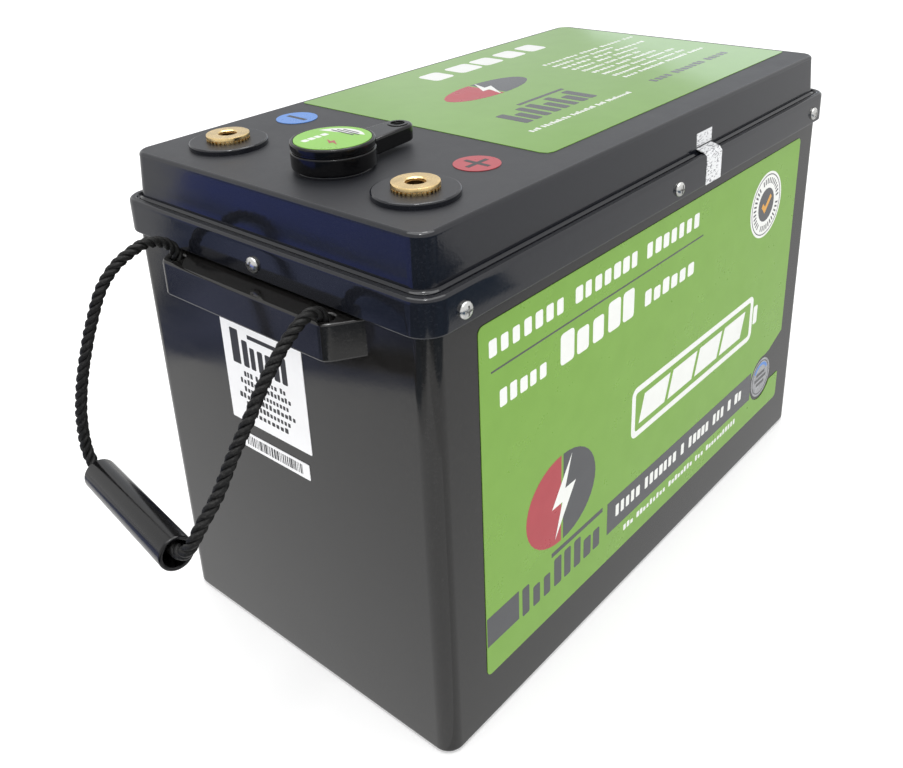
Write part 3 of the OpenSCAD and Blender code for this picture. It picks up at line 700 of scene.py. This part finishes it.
def make_key():
    """The magnetic key on its seat: a round body with a tab and eyelet, and a cap with a rounded rim."""
    seat = ([(0.01, 239.8), (16.0, 239.8), (16.0, 240.6)] + arc(15.6, 240.6, 0.4, 0, 90, 3)
            + [(13.0, 241.0), (12.6, 240.7), (0.01, 240.7)])
    smooth(add_object("key_seat_disc", turned("seat", seat, (KEY_X, KEY_Y)), LID, "root", "switch_seat",
                      slot="lid_plastic"), angle=45)
    body = ([(9.2, 241.3), (16.4, 241.3)] + arc(16.4, 242.6, 1.3, 270, 360, 5) + [(17.7, 247.8)]
            + arc(17.1, 248.2, 0.6, 0, 60, 3) + [(16.9, 248.9), (16.9, 249.8), (9.2, 249.8)])
    hub = turned("hub", body, (KEY_X, KEY_Y), 96)
    eye, half = KEY_X + 38, 6.4
    outline = [(KEY_X + 14, KEY_Y - 8.6)]
    outline += arc(eye, KEY_Y, half, -85, 85, 17)
    outline += [(KEY_X + 14, KEY_Y + 8.6)]
    tab = plate("tab", [outline, circle(eye, KEY_Y, 3.0, 32)], 7.4, 1.2, 4)
    raised = plate("rim", [circle(eye, KEY_Y, 4.6, 40), circle(eye, KEY_Y, 3.1, 32)], 0.6, 0.25, 3)
    mesh = merged("key_body_mesh", [(hub, Matrix()), (tab, Matrix.Translation((0, 0, 242.15 * MM))),
                                    (raised, Matrix.Translation((0, 0, 249.3 * MM)))])
    smooth(add_object("key_body_tab", mesh, KEY, "key", "key_body", slot="key_plastic"), angle=40)
    cap = ([(9.0, 249.5), (17.0, 249.5), (17.5, 249.8), (17.6, 250.9)] + arc(16.7, 251.9, 0.9, 0, 90, 6)
           + [(16.45, 252.75), (16.2, 252.6), (16.1, 252.25), (9.0, 252.25)])
    smooth(add_object("key_cap_rim", turned("cap", cap, (KEY_X, KEY_Y), 96), KEY, "key", "key_cap",
                      slot="key_plastic"), angle=45)


make_key()


# ---------------------------------------------------------------- printed labels

random.seed(7)
LEAN = math.atan(1 / DRAFT_HEIGHT)
SIDE_FACE = on_face((0, -90.02, 0), (1, 0, 0), (0, -math.sin(LEAN), math.cos(LEAN)))
END_FACE = on_face((-168.52, 0, 0), (0, -1, 0), (-math.sin(LEAN), 0, math.cos(LEAN)))
TOP_FACE = on_face((0, 0, PANEL_Z), (1, 0, 0), (0, 1, 0))
KEY_FACE = on_face((KEY_X, KEY_Y, 252.3), (1, 0, 0), (0, 1, 0))


def blocks(x0, x1, y0, y1, words, small=0.72, weight=0.7):
    """A line of print shown as plain upright blocks: words gives the number of blocks in each word."""
    cells = sum(words) + 0.8 * (len(words) - 1)
    step = (x1 - x0) / cells
    x, loops = x0, []
    for count in words:
        for k in range(count):
            w = step * weight * random.uniform(0.85, 1.1)
            h = (y1 - y0) * (1 if k == 0 or random.random() < 0.35 else small)
            loops.append(rect(x, y0, x + w, y0 + h, min(w, h) * 0.18, 2))
            x += step
        x += step * 0.8
    return loops


def bolt(cx, cy, h):
    """A plain lightning bolt."""
    shape = [(0.16, 0.5), (-0.22, -0.06), (-0.02, -0.06), (-0.16, -0.5), (0.24, 0.1), (0.03, 0.1)]
    return [(cx + x * h, cy + y * h) for x, y in shape]


def half_disc(cx, cy, rx, ry, side, gap):
    """One half of an ellipse, split down its middle."""
    points = [(cx + side * (gap + rx * x), cy + ry * y) for x, y in arc(0, 0, 1, -90, 90, 18)]
    return points if side > 0 else points[::-1]


def band_gauge(x0, x1, y0, y1, wall, slant):
    """A battery sign: an outline with a nub and four charge bars."""
    nub = (x1 - x0) * 0.045
    outer = rect(x0, y0, x1 - nub, y1, wall * 1.3)
    inner = rect(x0 + wall, y0 + wall, x1 - nub - wall, y1 - wall, wall * 0.5)
    margin = (y1 - y0) * 0.3
    loops = [outer, inner, rect(x1 - nub + wall * 0.35, y0 + margin, x1, y1 - margin, wall * 0.3)]
    a, b = x0 + 2 * wall, x1 - nub - 2 * wall - slant
    w, low, high = (b - a) / 4, y0 + 2 * wall, y1 - 2 * wall
    for k in range(4):
        p, q = a + k * w, a + (k + 1) * w - wall * 0.9
        loops.append([(p, low), (q, low), (q + slant, high), (p + slant, high)])
    return loops


LABEL_T = 0.3


def label_base(name, face, loop, material, slot, *cad):
    """The film or paper of a label, laid on a face."""
    mesh = plate(name, loop, LABEL_T, 0.05, 1)
    mesh.transform(face)
    return smooth(add_object(name, mesh, material, "root", *cad, slot=slot), angle=35)


def decals(name, face, base, layers, body="root"):
    """Print on a label: an entry is (material, level, loops), and each level lies a little above the last."""
    for i, (material, level, loops) in enumerate(layers):
        mesh = plate(f"{name}_print_{i}", loops, 0.05)
        mesh.transform(face @ Matrix.Translation((0, 0, (base - 0.015 + 0.03 * level) * MM)))
        add_object(f"{name}_print_{i}", mesh, material, body)


def make_side_label():
    """The long side's green label, notched round a silver seal, with its bars, signs and round mark."""
    seal, mark, logo = (121, 51.5), (106, 168), (-88, 88)
    loop = rect(-143, 26.5, 146, 196.5, 3.0)
    notch = [(146, 44.2)] + arc(*seal, 14.5, -30, -282, 18) + [(129.5, 66.5), (146, 73.5)]
    outline = ([p for p in loop if p[1] < 60 and p[0] > 100] + notch
               + [p for p in loop if p[1] > 60 and p[0] > 100] + [p for p in loop if p[0] < 100])
    label_base("side_label_film", SIDE_FACE, [outline], GREEN, "label_green", "side_label")
    ticks = [[polar(*mark, r, t + d) for r, d in ((12.2, -2.4), (15.4, -2.0), (15.4, 2.0), (12.2, 2.4))]
             for t in range(0, 360, 10) if t % 120]
    check = [(100.4, 167.6), (104.6, 163.2), (112.4, 171.2), (110.6, 173.2), (104.7, 167.2), (102.2, 169.6)]
    decals("side", SIDE_FACE, LABEL_T, [
        (WHITE, 0, blocks(-137, 30, 181, 188.5, (7, 7, 7), 0.95) + blocks(-131, -98, 156.5, 164.5, (5,), 0.85)
         + blocks(-90, -29, 156, 171, (5,), 0.8, 0.8) + blocks(-22, 27, 156.5, 164.5, (6,), 0.85)
         + band_gauge(-30, 107, 86.5, 115, 3.4, 5) + blocks(-34, 90, 35.4, 38.8, (3, 9, 8, 3, 11), 0.7)
         + [circle(*mark, 19, 72)]),
        (DARK_INK, 0, [rect(-136, 174.1, 33, 174.9)] + blocks(-118, -54, 41.5, 57, (8,), 0.72, 0.72)
         + [rect(-96, 59.4, -54, 61.8), rect(-142.6, 42.5, -120.5, 58), rect(-49.7, 42.5, 107, 61)]
         + [half_disc(*logo, 26, 23, 1, 0.8)]),
        (RED_INK, 0, [half_disc(*logo, 26, 23, -1, 0.8)]),
        (WHITE, 1, [bolt(logo[0] + 1, logo[1], 40)] + blocks(-42, 96, 49, 55.8, (5, 7, 1, 5, 3, 1, 2), 0.9)),
        (DARK_INK, 1, [circle(*mark, 17.6, 64), circle(*mark, 17.0, 64), circle(*mark, 9.6, 48)] + ticks),
        (AMBER_INK, 2, [check]),
    ])
    decals("seal_disc", SIDE_FACE, 0.02, [
        (SILVER, 0, [circle(*seal, 12.5, 64)]),
        (DARK_INK, 1, [circle(*seal, 11.2, 64), circle(*seal, 10.5, 64)]
         + [rect(115.5, 53.2, 126.5, 55.2), rect(113.5, 49.8, 128.5, 51.8), rect(116, 46.4, 126, 48.4)]),
        (BLUE_INK, 1, [arc(*seal, 9.8, 30, 150, 12) + arc(*seal, 8.0, 150, 30, 12)]),
    ])


def make_top_label():
    """The raised panel's green label, with one corner rounded off further than the others."""
    loop = rect(-69, -70, 162, 84, 2.0)
    outline = [p for p in loop if not (p[0] < -60 and p[1] < -60)]
    cut = [(-69, -65.5), (-67.8, -68.7), (-64.5, -70)]
    i = next(k for k, p in enumerate(outline) if p[0] > 100 and p[1] < -60)
    outline = outline[:i] + cut + outline[i:]
    label_base("top_label_film", TOP_FACE, [outline], GREEN_TOP, "label_green", "top_label")
    rows = []
    for k in range(9):
        y, end = 26 - k * 6.6, random.uniform(118, 158)
        words = random.choice(((6, 4, 7), (9, 5, 6, 3), (4, 8, 7, 5)))
        rows += blocks(62, end, y, y + 2.6, words, 0.8)
    logo = (3, 21, 30, 12)
    decals("top", TOP_FACE, LABEL_T, [
        (WHITE, 0, blocks(2, 110, 54.6, 70, (5,), 1.0, 0.8) + blocks(-47, 37, -46, -43, (3, 9, 8, 3, 9), 0.7)
         + rows),
        (DARK_INK, 0, blocks(-37, 24, -35, -16, (8,), 0.72, 0.72) + [rect(-14, -13.4, 24, -11)]
         + blocks(62, 145, -45, -40, (4, 7, 5), 0.9) + [half_disc(*logo, 1, 0.8)]),
        (RED_INK, 0, [half_disc(*logo, -1, 0.8)]),
        (WHITE, 1, [bolt(3.5, 21, 25)]),
    ])


def make_end_stickers():
    """The white sticker on the terminal end and the strip of bars below it."""
    sticker, strip = [rect(-33, 125, 20, 181, 0.6)], [rect(-30, 111, 17, 119, 0.3)]
    label_base("end_sticker_paper", END_FACE, sticker, PAPER, "label_white", "end_sticker")
    lines, middle, first, pitch = [], -6.5, 149.6, 3.9
    rows = ((14, (3, 7, 2)), (17, (5, 9)), (15, (4, 9)), (19, (4, 10)), (15, (3, 9)), (13, (9,)))
    for k, (half, words) in enumerate(rows):
        y = first - pitch * k
        lines += blocks(middle - half, middle + half, y, y + 2.6, words, 0.75)
    decals("end", END_FACE, LABEL_T, [
        (BLACK_INK, 0, [rect(-27, 155, -21.5, 172, 0.5)] + blocks(-19.5, 11, 155, 168, (6,), 0.82, 0.7)
         + [rect(-15, 169.6, 9, 171.6)] + lines)])
    label_base("barcode_paper", END_FACE, strip, PAPER, "label_white", "barcode_strip")
    x, bars = -25, []
    while x < 13:
        w = random.choice((0.35, 0.35, 0.7, 1.05))
        bars.append(rect(x, 112.6, x + w, 117.6))
        x += w + random.choice((0.35, 0.7, 0.7))
    decals("barcode", END_FACE, LABEL_T, [(BLACK_INK, 0, bars)])


def make_discs():
    """Polarity signs next to the terminals."""
    for sign, ink, slot, (x, y), shape in (
        ("pos", RED_INK, "disc_red", (-95, -53), plus_sign(6.5, 1.1)),
        ("neg", BLUE_INK, "disc_blue", (-90, 64), rect(-1.1, -6.5, 1.1, 6.5)),
    ):
        film = [circle(x, y, 10, 64)]
        label_base(f"polarity_film_{sign}", TOP_FACE, film, ink, slot, f"polarity_disc_{sign}")
        decals(f"polarity_{sign}", TOP_FACE, LABEL_T, [(BLACK_INK, 0, [[(x + a, y + b) for a, b in shape]])])


def make_key_label():
    """The key's round label: a flat film inside the rim of its cap."""
    mesh = plate("key_film", [circle(0, 0, 16.0, 72)], 0.55, 0.08, 2)
    mesh.transform(KEY_FACE)
    smooth(add_object("key_label_film", mesh, GREEN_KEY, "key", "key_label", slot="label_green"), angle=35)
    top = arc(0, 0, 13.2, -40, 72, 14)
    decals("key", KEY_FACE, 0.55, [
        (WHITE, 0, [top] + blocks(-11, 3, 4.4, 7.4, (4,), 1.0, 0.8)),
        (DARK_INK, 1, [rect(6.9, -4.6, 7.8, 8.6), rect(8.6, -6.2, 9.5, 6.8), rect(10.3, -4.4, 11.1, 4.8)]),
        (RED_INK, 1, [bolt(-4.4, -4.4, 9)]),
    ], body="key")


make_side_label()
make_top_label()
make_end_stickers()
make_discs()
make_key_label()


# ---------------------------------------------------------------- finishes of the pieces kept from the CAD

def film_material(name, color):
    """Shrink film round a cell: glossy, with tight wrinkles."""
    m = Nodes(name, color, 0.22, Specular_IOR_Level=0.5)
    m.color(m.mix(m.ramp(m.noise(60, 5), 0, 1), color, tuple(c * 0.8 for c in color)))
    m.bump(m.noise(120, 4, (0.3, 1, 2)), 0.25, 0.0006)
    return m.material


def board_material(name, color, trace):
    """A circuit board: solder mask with paler tracks and pads under it."""
    m = Nodes(name, color, 0.32, Specular_IOR_Level=0.5)
    tracks = m.add("TexBrick", Scale=140.0, Mortar_Size=0.12, Mortar_Smooth=0.1, Brick_Width=1.7,
                   Row_Height=0.35)
    m.link(m.coords(), tracks.inputs["Vector"])
    tracks.inputs["Color1"].default_value = (*color, 1)
    tracks.inputs["Color2"].default_value = (*[c * 0.85 for c in color], 1)
    tracks.inputs["Mortar"].default_value = (*trace, 1)
    m.color(tracks.outputs["Color"])
    m.bump(tracks.outputs["Fac"], 0.15, 0.0001)
    return m.material


def foam_material(name, color):
    """Closed-cell foam: small round cells and a dry surface."""
    m = Nodes(name, color, 0.85)
    cells = m.add("TexVoronoi", Scale=700.0)
    m.link(m.coords(), cells.inputs["Vector"])
    m.color(m.mix(m.ramp(cells.outputs["Distance"], 0, 1, (0.1, 0.7)), tuple(c * 0.5 for c in color), color))
    m.bump(cells.outputs["Distance"], 0.6, 0.0008)
    return m.material


def heater_material(name, color, wire):
    """Heating film: a long foil path that shows through the amber film."""
    m = Nodes(name, color, 0.25, Specular_IOR_Level=0.5)
    path = m.add("TexWave", Scale=60.0, Distortion=1.5, Detail=1.0)
    m.link(m.coords(), path.inputs["Vector"])
    m.color(m.mix(m.ramp(path.outputs["Fac"], 0, 1, (0.55, 0.7)), color, wire))
    m.bump(path.outputs["Fac"], 0.2, 0.0003)
    return m.material


def seal_material(name):
    """Silvery seal tape with rows of faint print."""
    m = Nodes(name, (0.8, 0.8, 0.81), 0.35, Specular_IOR_Level=0.5)
    print_rows = m.noise(900, 2, (0.5, 1.4, 1.4), 0.5)
    patch = m.noise(60, 3)
    both = m.add("Math", operation="MULTIPLY")
    m.link(m.ramp(print_rows, 0, 1, (0.54, 0.58)), both.inputs[0])
    m.link(m.ramp(patch, 0.15, 0.9, (0.4, 0.55)), both.inputs[1])
    m.color(m.mix(both.outputs[0], (0.80, 0.81, 0.82), (0.22, 0.22, 0.24)))
    m.bump(m.noise(90, 3), 0.3, 0.0008)
    return m.material


BY_SLOT = {
    "case_plastic": CASE, "lid_plastic": LID, "key_plastic": KEY, "grip_plastic": GRIP, "zinc_steel": STEEL,
    "terminal_brass": BRASS, "label_white": seal_material("seal_tape"),
    "gasket_rubber": matte("gasket_rubber", (0.02, 0.02, 0.02), 0.7, 900, 0.3),
    "magnet_nickel": metal("magnet_nickel", (0.66, 0.63, 0.58), 0.18, wear=0.15),
    "board_green": board_material("board_green", (0.01, 0.10, 0.035), (0.03, 0.2, 0.08)),
    "radio_blue": board_material("radio_blue", (0.012, 0.03, 0.12), (0.04, 0.09, 0.26)),
    "wire_jacket": matte("wire_jacket", (0.10, 0.012, 0.012), 0.45, 300, 0.2),
    "cell_film": film_material("cell_film", (0.02, 0.12, 0.42)),
    "aluminium_bare": metal("aluminium", (0.70, 0.71, 0.72), 0.3, brushed=(1, 1, 14), wear=0.2),
    "copper_bar": metal("copper", (0.72, 0.33, 0.19), 0.26, brushed=(1, 12, 1), wear=0.3),
    "fibre_sheet": matte("fibre_sheet", (0.52, 0.48, 0.33), 0.6, 400, 0.25, 0.3),
    "foam_rubber": foam_material("foam_rubber", (0.05, 0.05, 0.05)),
    "heater_film": heater_material("heater_film", (0.50, 0.22, 0.03), (0.30, 0.24, 0.17)),
    "chip_black": matte("chip_black", (0.018, 0.018, 0.02), 0.5, 1500, 0.2),
    "nylon_natural": matte("nylon_natural", (0.66, 0.63, 0.54), 0.4, 500, 0.12, 0.1),
}
for row in frame["record"]["subparts"]:
    ob = nodes[row["node"]]
    if row["material_slot"] in BY_SLOT:
        ob.data.materials.clear()
        ob.data.materials.append(BY_SLOT[row["material_slot"]])


# ---------------------------------------------------------------- stage and light

def glow_card(name, corners, low, high=None, scale=3.0):
    """A coloured card that is seen only in reflections, like the panels round a studio table."""
    mesh = bpy.data.meshes.new(name)
    mesh.from_pydata([Vector(c) for c in corners], [], [list(range(len(corners)))])
    card = bpy.data.objects.new(name, mesh)
    SCENE.objects.link(card)
    m = bpy.data.materials.new(name)
    m.use_nodes = True
    tree = m.node_tree
    tree.nodes.clear()
    out, glow = tree.nodes.new("ShaderNodeOutputMaterial"), tree.nodes.new("ShaderNodeEmission")
    tree.links.new(glow.outputs[0], out.inputs["Surface"])
    glow.inputs["Color"].default_value = (*low, 1)
    if high:
        noise, mix = tree.nodes.new("ShaderNodeTexNoise"), tree.nodes.new("ShaderNodeMix")
        noise.inputs["Scale"].default_value = scale
        mix.data_type = "RGBA"
        mix.inputs[6].default_value, mix.inputs[7].default_value = (*low, 1), (*high, 1)
        place = tree.nodes.new("ShaderNodeTexCoord")
        spread = tree.nodes.new("ShaderNodeMapRange")
        spread.inputs["From Min"].default_value, spread.inputs["From Max"].default_value = 0.42, 0.58
        tree.links.new(place.outputs["Object"], noise.inputs["Vector"])
        tree.links.new(noise.outputs["Fac"], spread.inputs["Value"])
        tree.links.new(spread.outputs["Result"], mix.inputs[0])
        tree.links.new(mix.outputs[2], glow.inputs["Color"])
    mesh.materials.append(m)
    card.visible_camera = card.visible_diffuse = card.visible_shadow = card.visible_transmission = False


def make_floor():
    """A plain pale floor just below the object."""
    floor_mesh = bpy.data.meshes.new("floor")
    s = 6.0
    floor_mesh.from_pydata([(-s, -s, 0), (s, -s, 0), (s, s, 0), (-s, s, 0)], [], [(0, 1, 2, 3)])
    floor = bpy.data.objects.new("floor", floor_mesh)
    SCENE.objects.link(floor)
    floor.location.z = -0.0003
    m = Nodes("floor_white", (0.93, 0.93, 0.93), 0.8, Emission_Color=(1, 1, 1, 1), Emission_Strength=0.30)
    m.color(m.mix(m.ramp(m.noise(3, 2), 0, 1), (0.93, 0.93, 0.93), (0.92, 0.92, 0.92)))
    floor_mesh.materials.append(m.material)


def make_lights():
    """A white surround and two overhead softboxes."""
    world = bpy.data.worlds.new("world")
    bpy.context.scene.world = world
    world.use_nodes = True
    world.node_tree.nodes["Background"].inputs["Color"].default_value = (1.0, 1.0, 1.0, 1)
    world.node_tree.nodes["Background"].inputs["Strength"].default_value = 1.0
    for name, at, size, power in (("soft_top", (-0.45, -0.35, 1.6), 0.22, 3.5),
                                  ("soft_back", (0.5, 0.3, 1.6), 0.25, 2.0)):
        data = bpy.data.lights.new(name, "AREA")
        data.shape, data.size, data.energy = "DISK", size, power
        light = bpy.data.objects.new(name, data)
        SCENE.objects.link(light)
        light.location = at
        light.rotation_mode = "QUATERNION"
        light.rotation_quaternion = (Vector((0, 0, 0.1)) - Vector(at)).to_track_quat("-Z", "Y")


def make_cards():
    """Cards seen only in the reflections: on the floor, above, and beyond the object like a bright window."""
    z, far_z = 0.0008, 0.0005
    navy_near, navy_mid, navy_side = (-0.295, 0.33, z), (-0.375, 0.13, z), (-0.48, 0.05, z)
    blue_near, blue_far = (-0.63, 0.75, z), (-0.63, 0.05, z)
    glow_card("card_floor_end", [(-0.169, -0.30, z), (-0.169, 0.42, z), navy_near, navy_mid,
                                 (-0.44, -0.30, z)], (1.0, 1.0, 1.0))
    glow_card("card_navy", [navy_near, blue_near, blue_far, navy_side, navy_mid],
              (0.05, 0.08, 0.18), (0.26, 0.30, 0.52), 5.0)
    glow_card("card_blue", [blue_near, (-1.3, 1.6, z), (-1.3, 0.05, z), blue_far], (0.17, 0.23, 0.80))
    glow_card("card_behind", [navy_mid, navy_side, (-1.3, 0.05, z), (-1.3, -1.0, z), (-0.5, -1.2, z),
                              (0.34, -0.66, z), (0.335, -0.565, z), (0.215, -0.355, z), (-0.28, -0.40, z),
                              (-0.44, -0.36, z), (-0.46, -0.10, z)],
              (0.03, 0.08, 0.14), (0.01, 0.03, 0.06), 4.0)
    glow_card("card_floor_far", [(-3, -3, far_z), (3, -3, far_z), (3, 3, far_z), (-3, 3, far_z)],
              (0.76, 0.76, 0.76))
    glow_card("card_sky", [(0.45, 1.90, 0.25), (2.1, 0.25, 0.25), (2.1, 0.25, 0.92), (0.45, 1.90, 0.92)],
              (0.64, 0.66, 0.68), (0.82, 0.84, 0.87), 2.0)
    glow_card("card_window", [(1.26, 1.04, 0.25), (1.36, 0.94, 0.46), (1.42, 0.88, 0.54), (1.60, 0.70, 0.66),
                              (1.95, 0.35, 0.86), (2.07, 0.23, 0.86), (2.07, 0.23, 0.25)], (1.15, 1.22, 1.30))
    glow_card("card_ceiling", [(-1, -1, 1.7), (-1, 1, 1.7), (1, 1, 1.7), (1, -1, 1.7)], (3.2, 3.2, 3.2))


make_floor()
make_lights()
make_cards()
bpy.context.scene.view_settings.view_transform = "Standard"
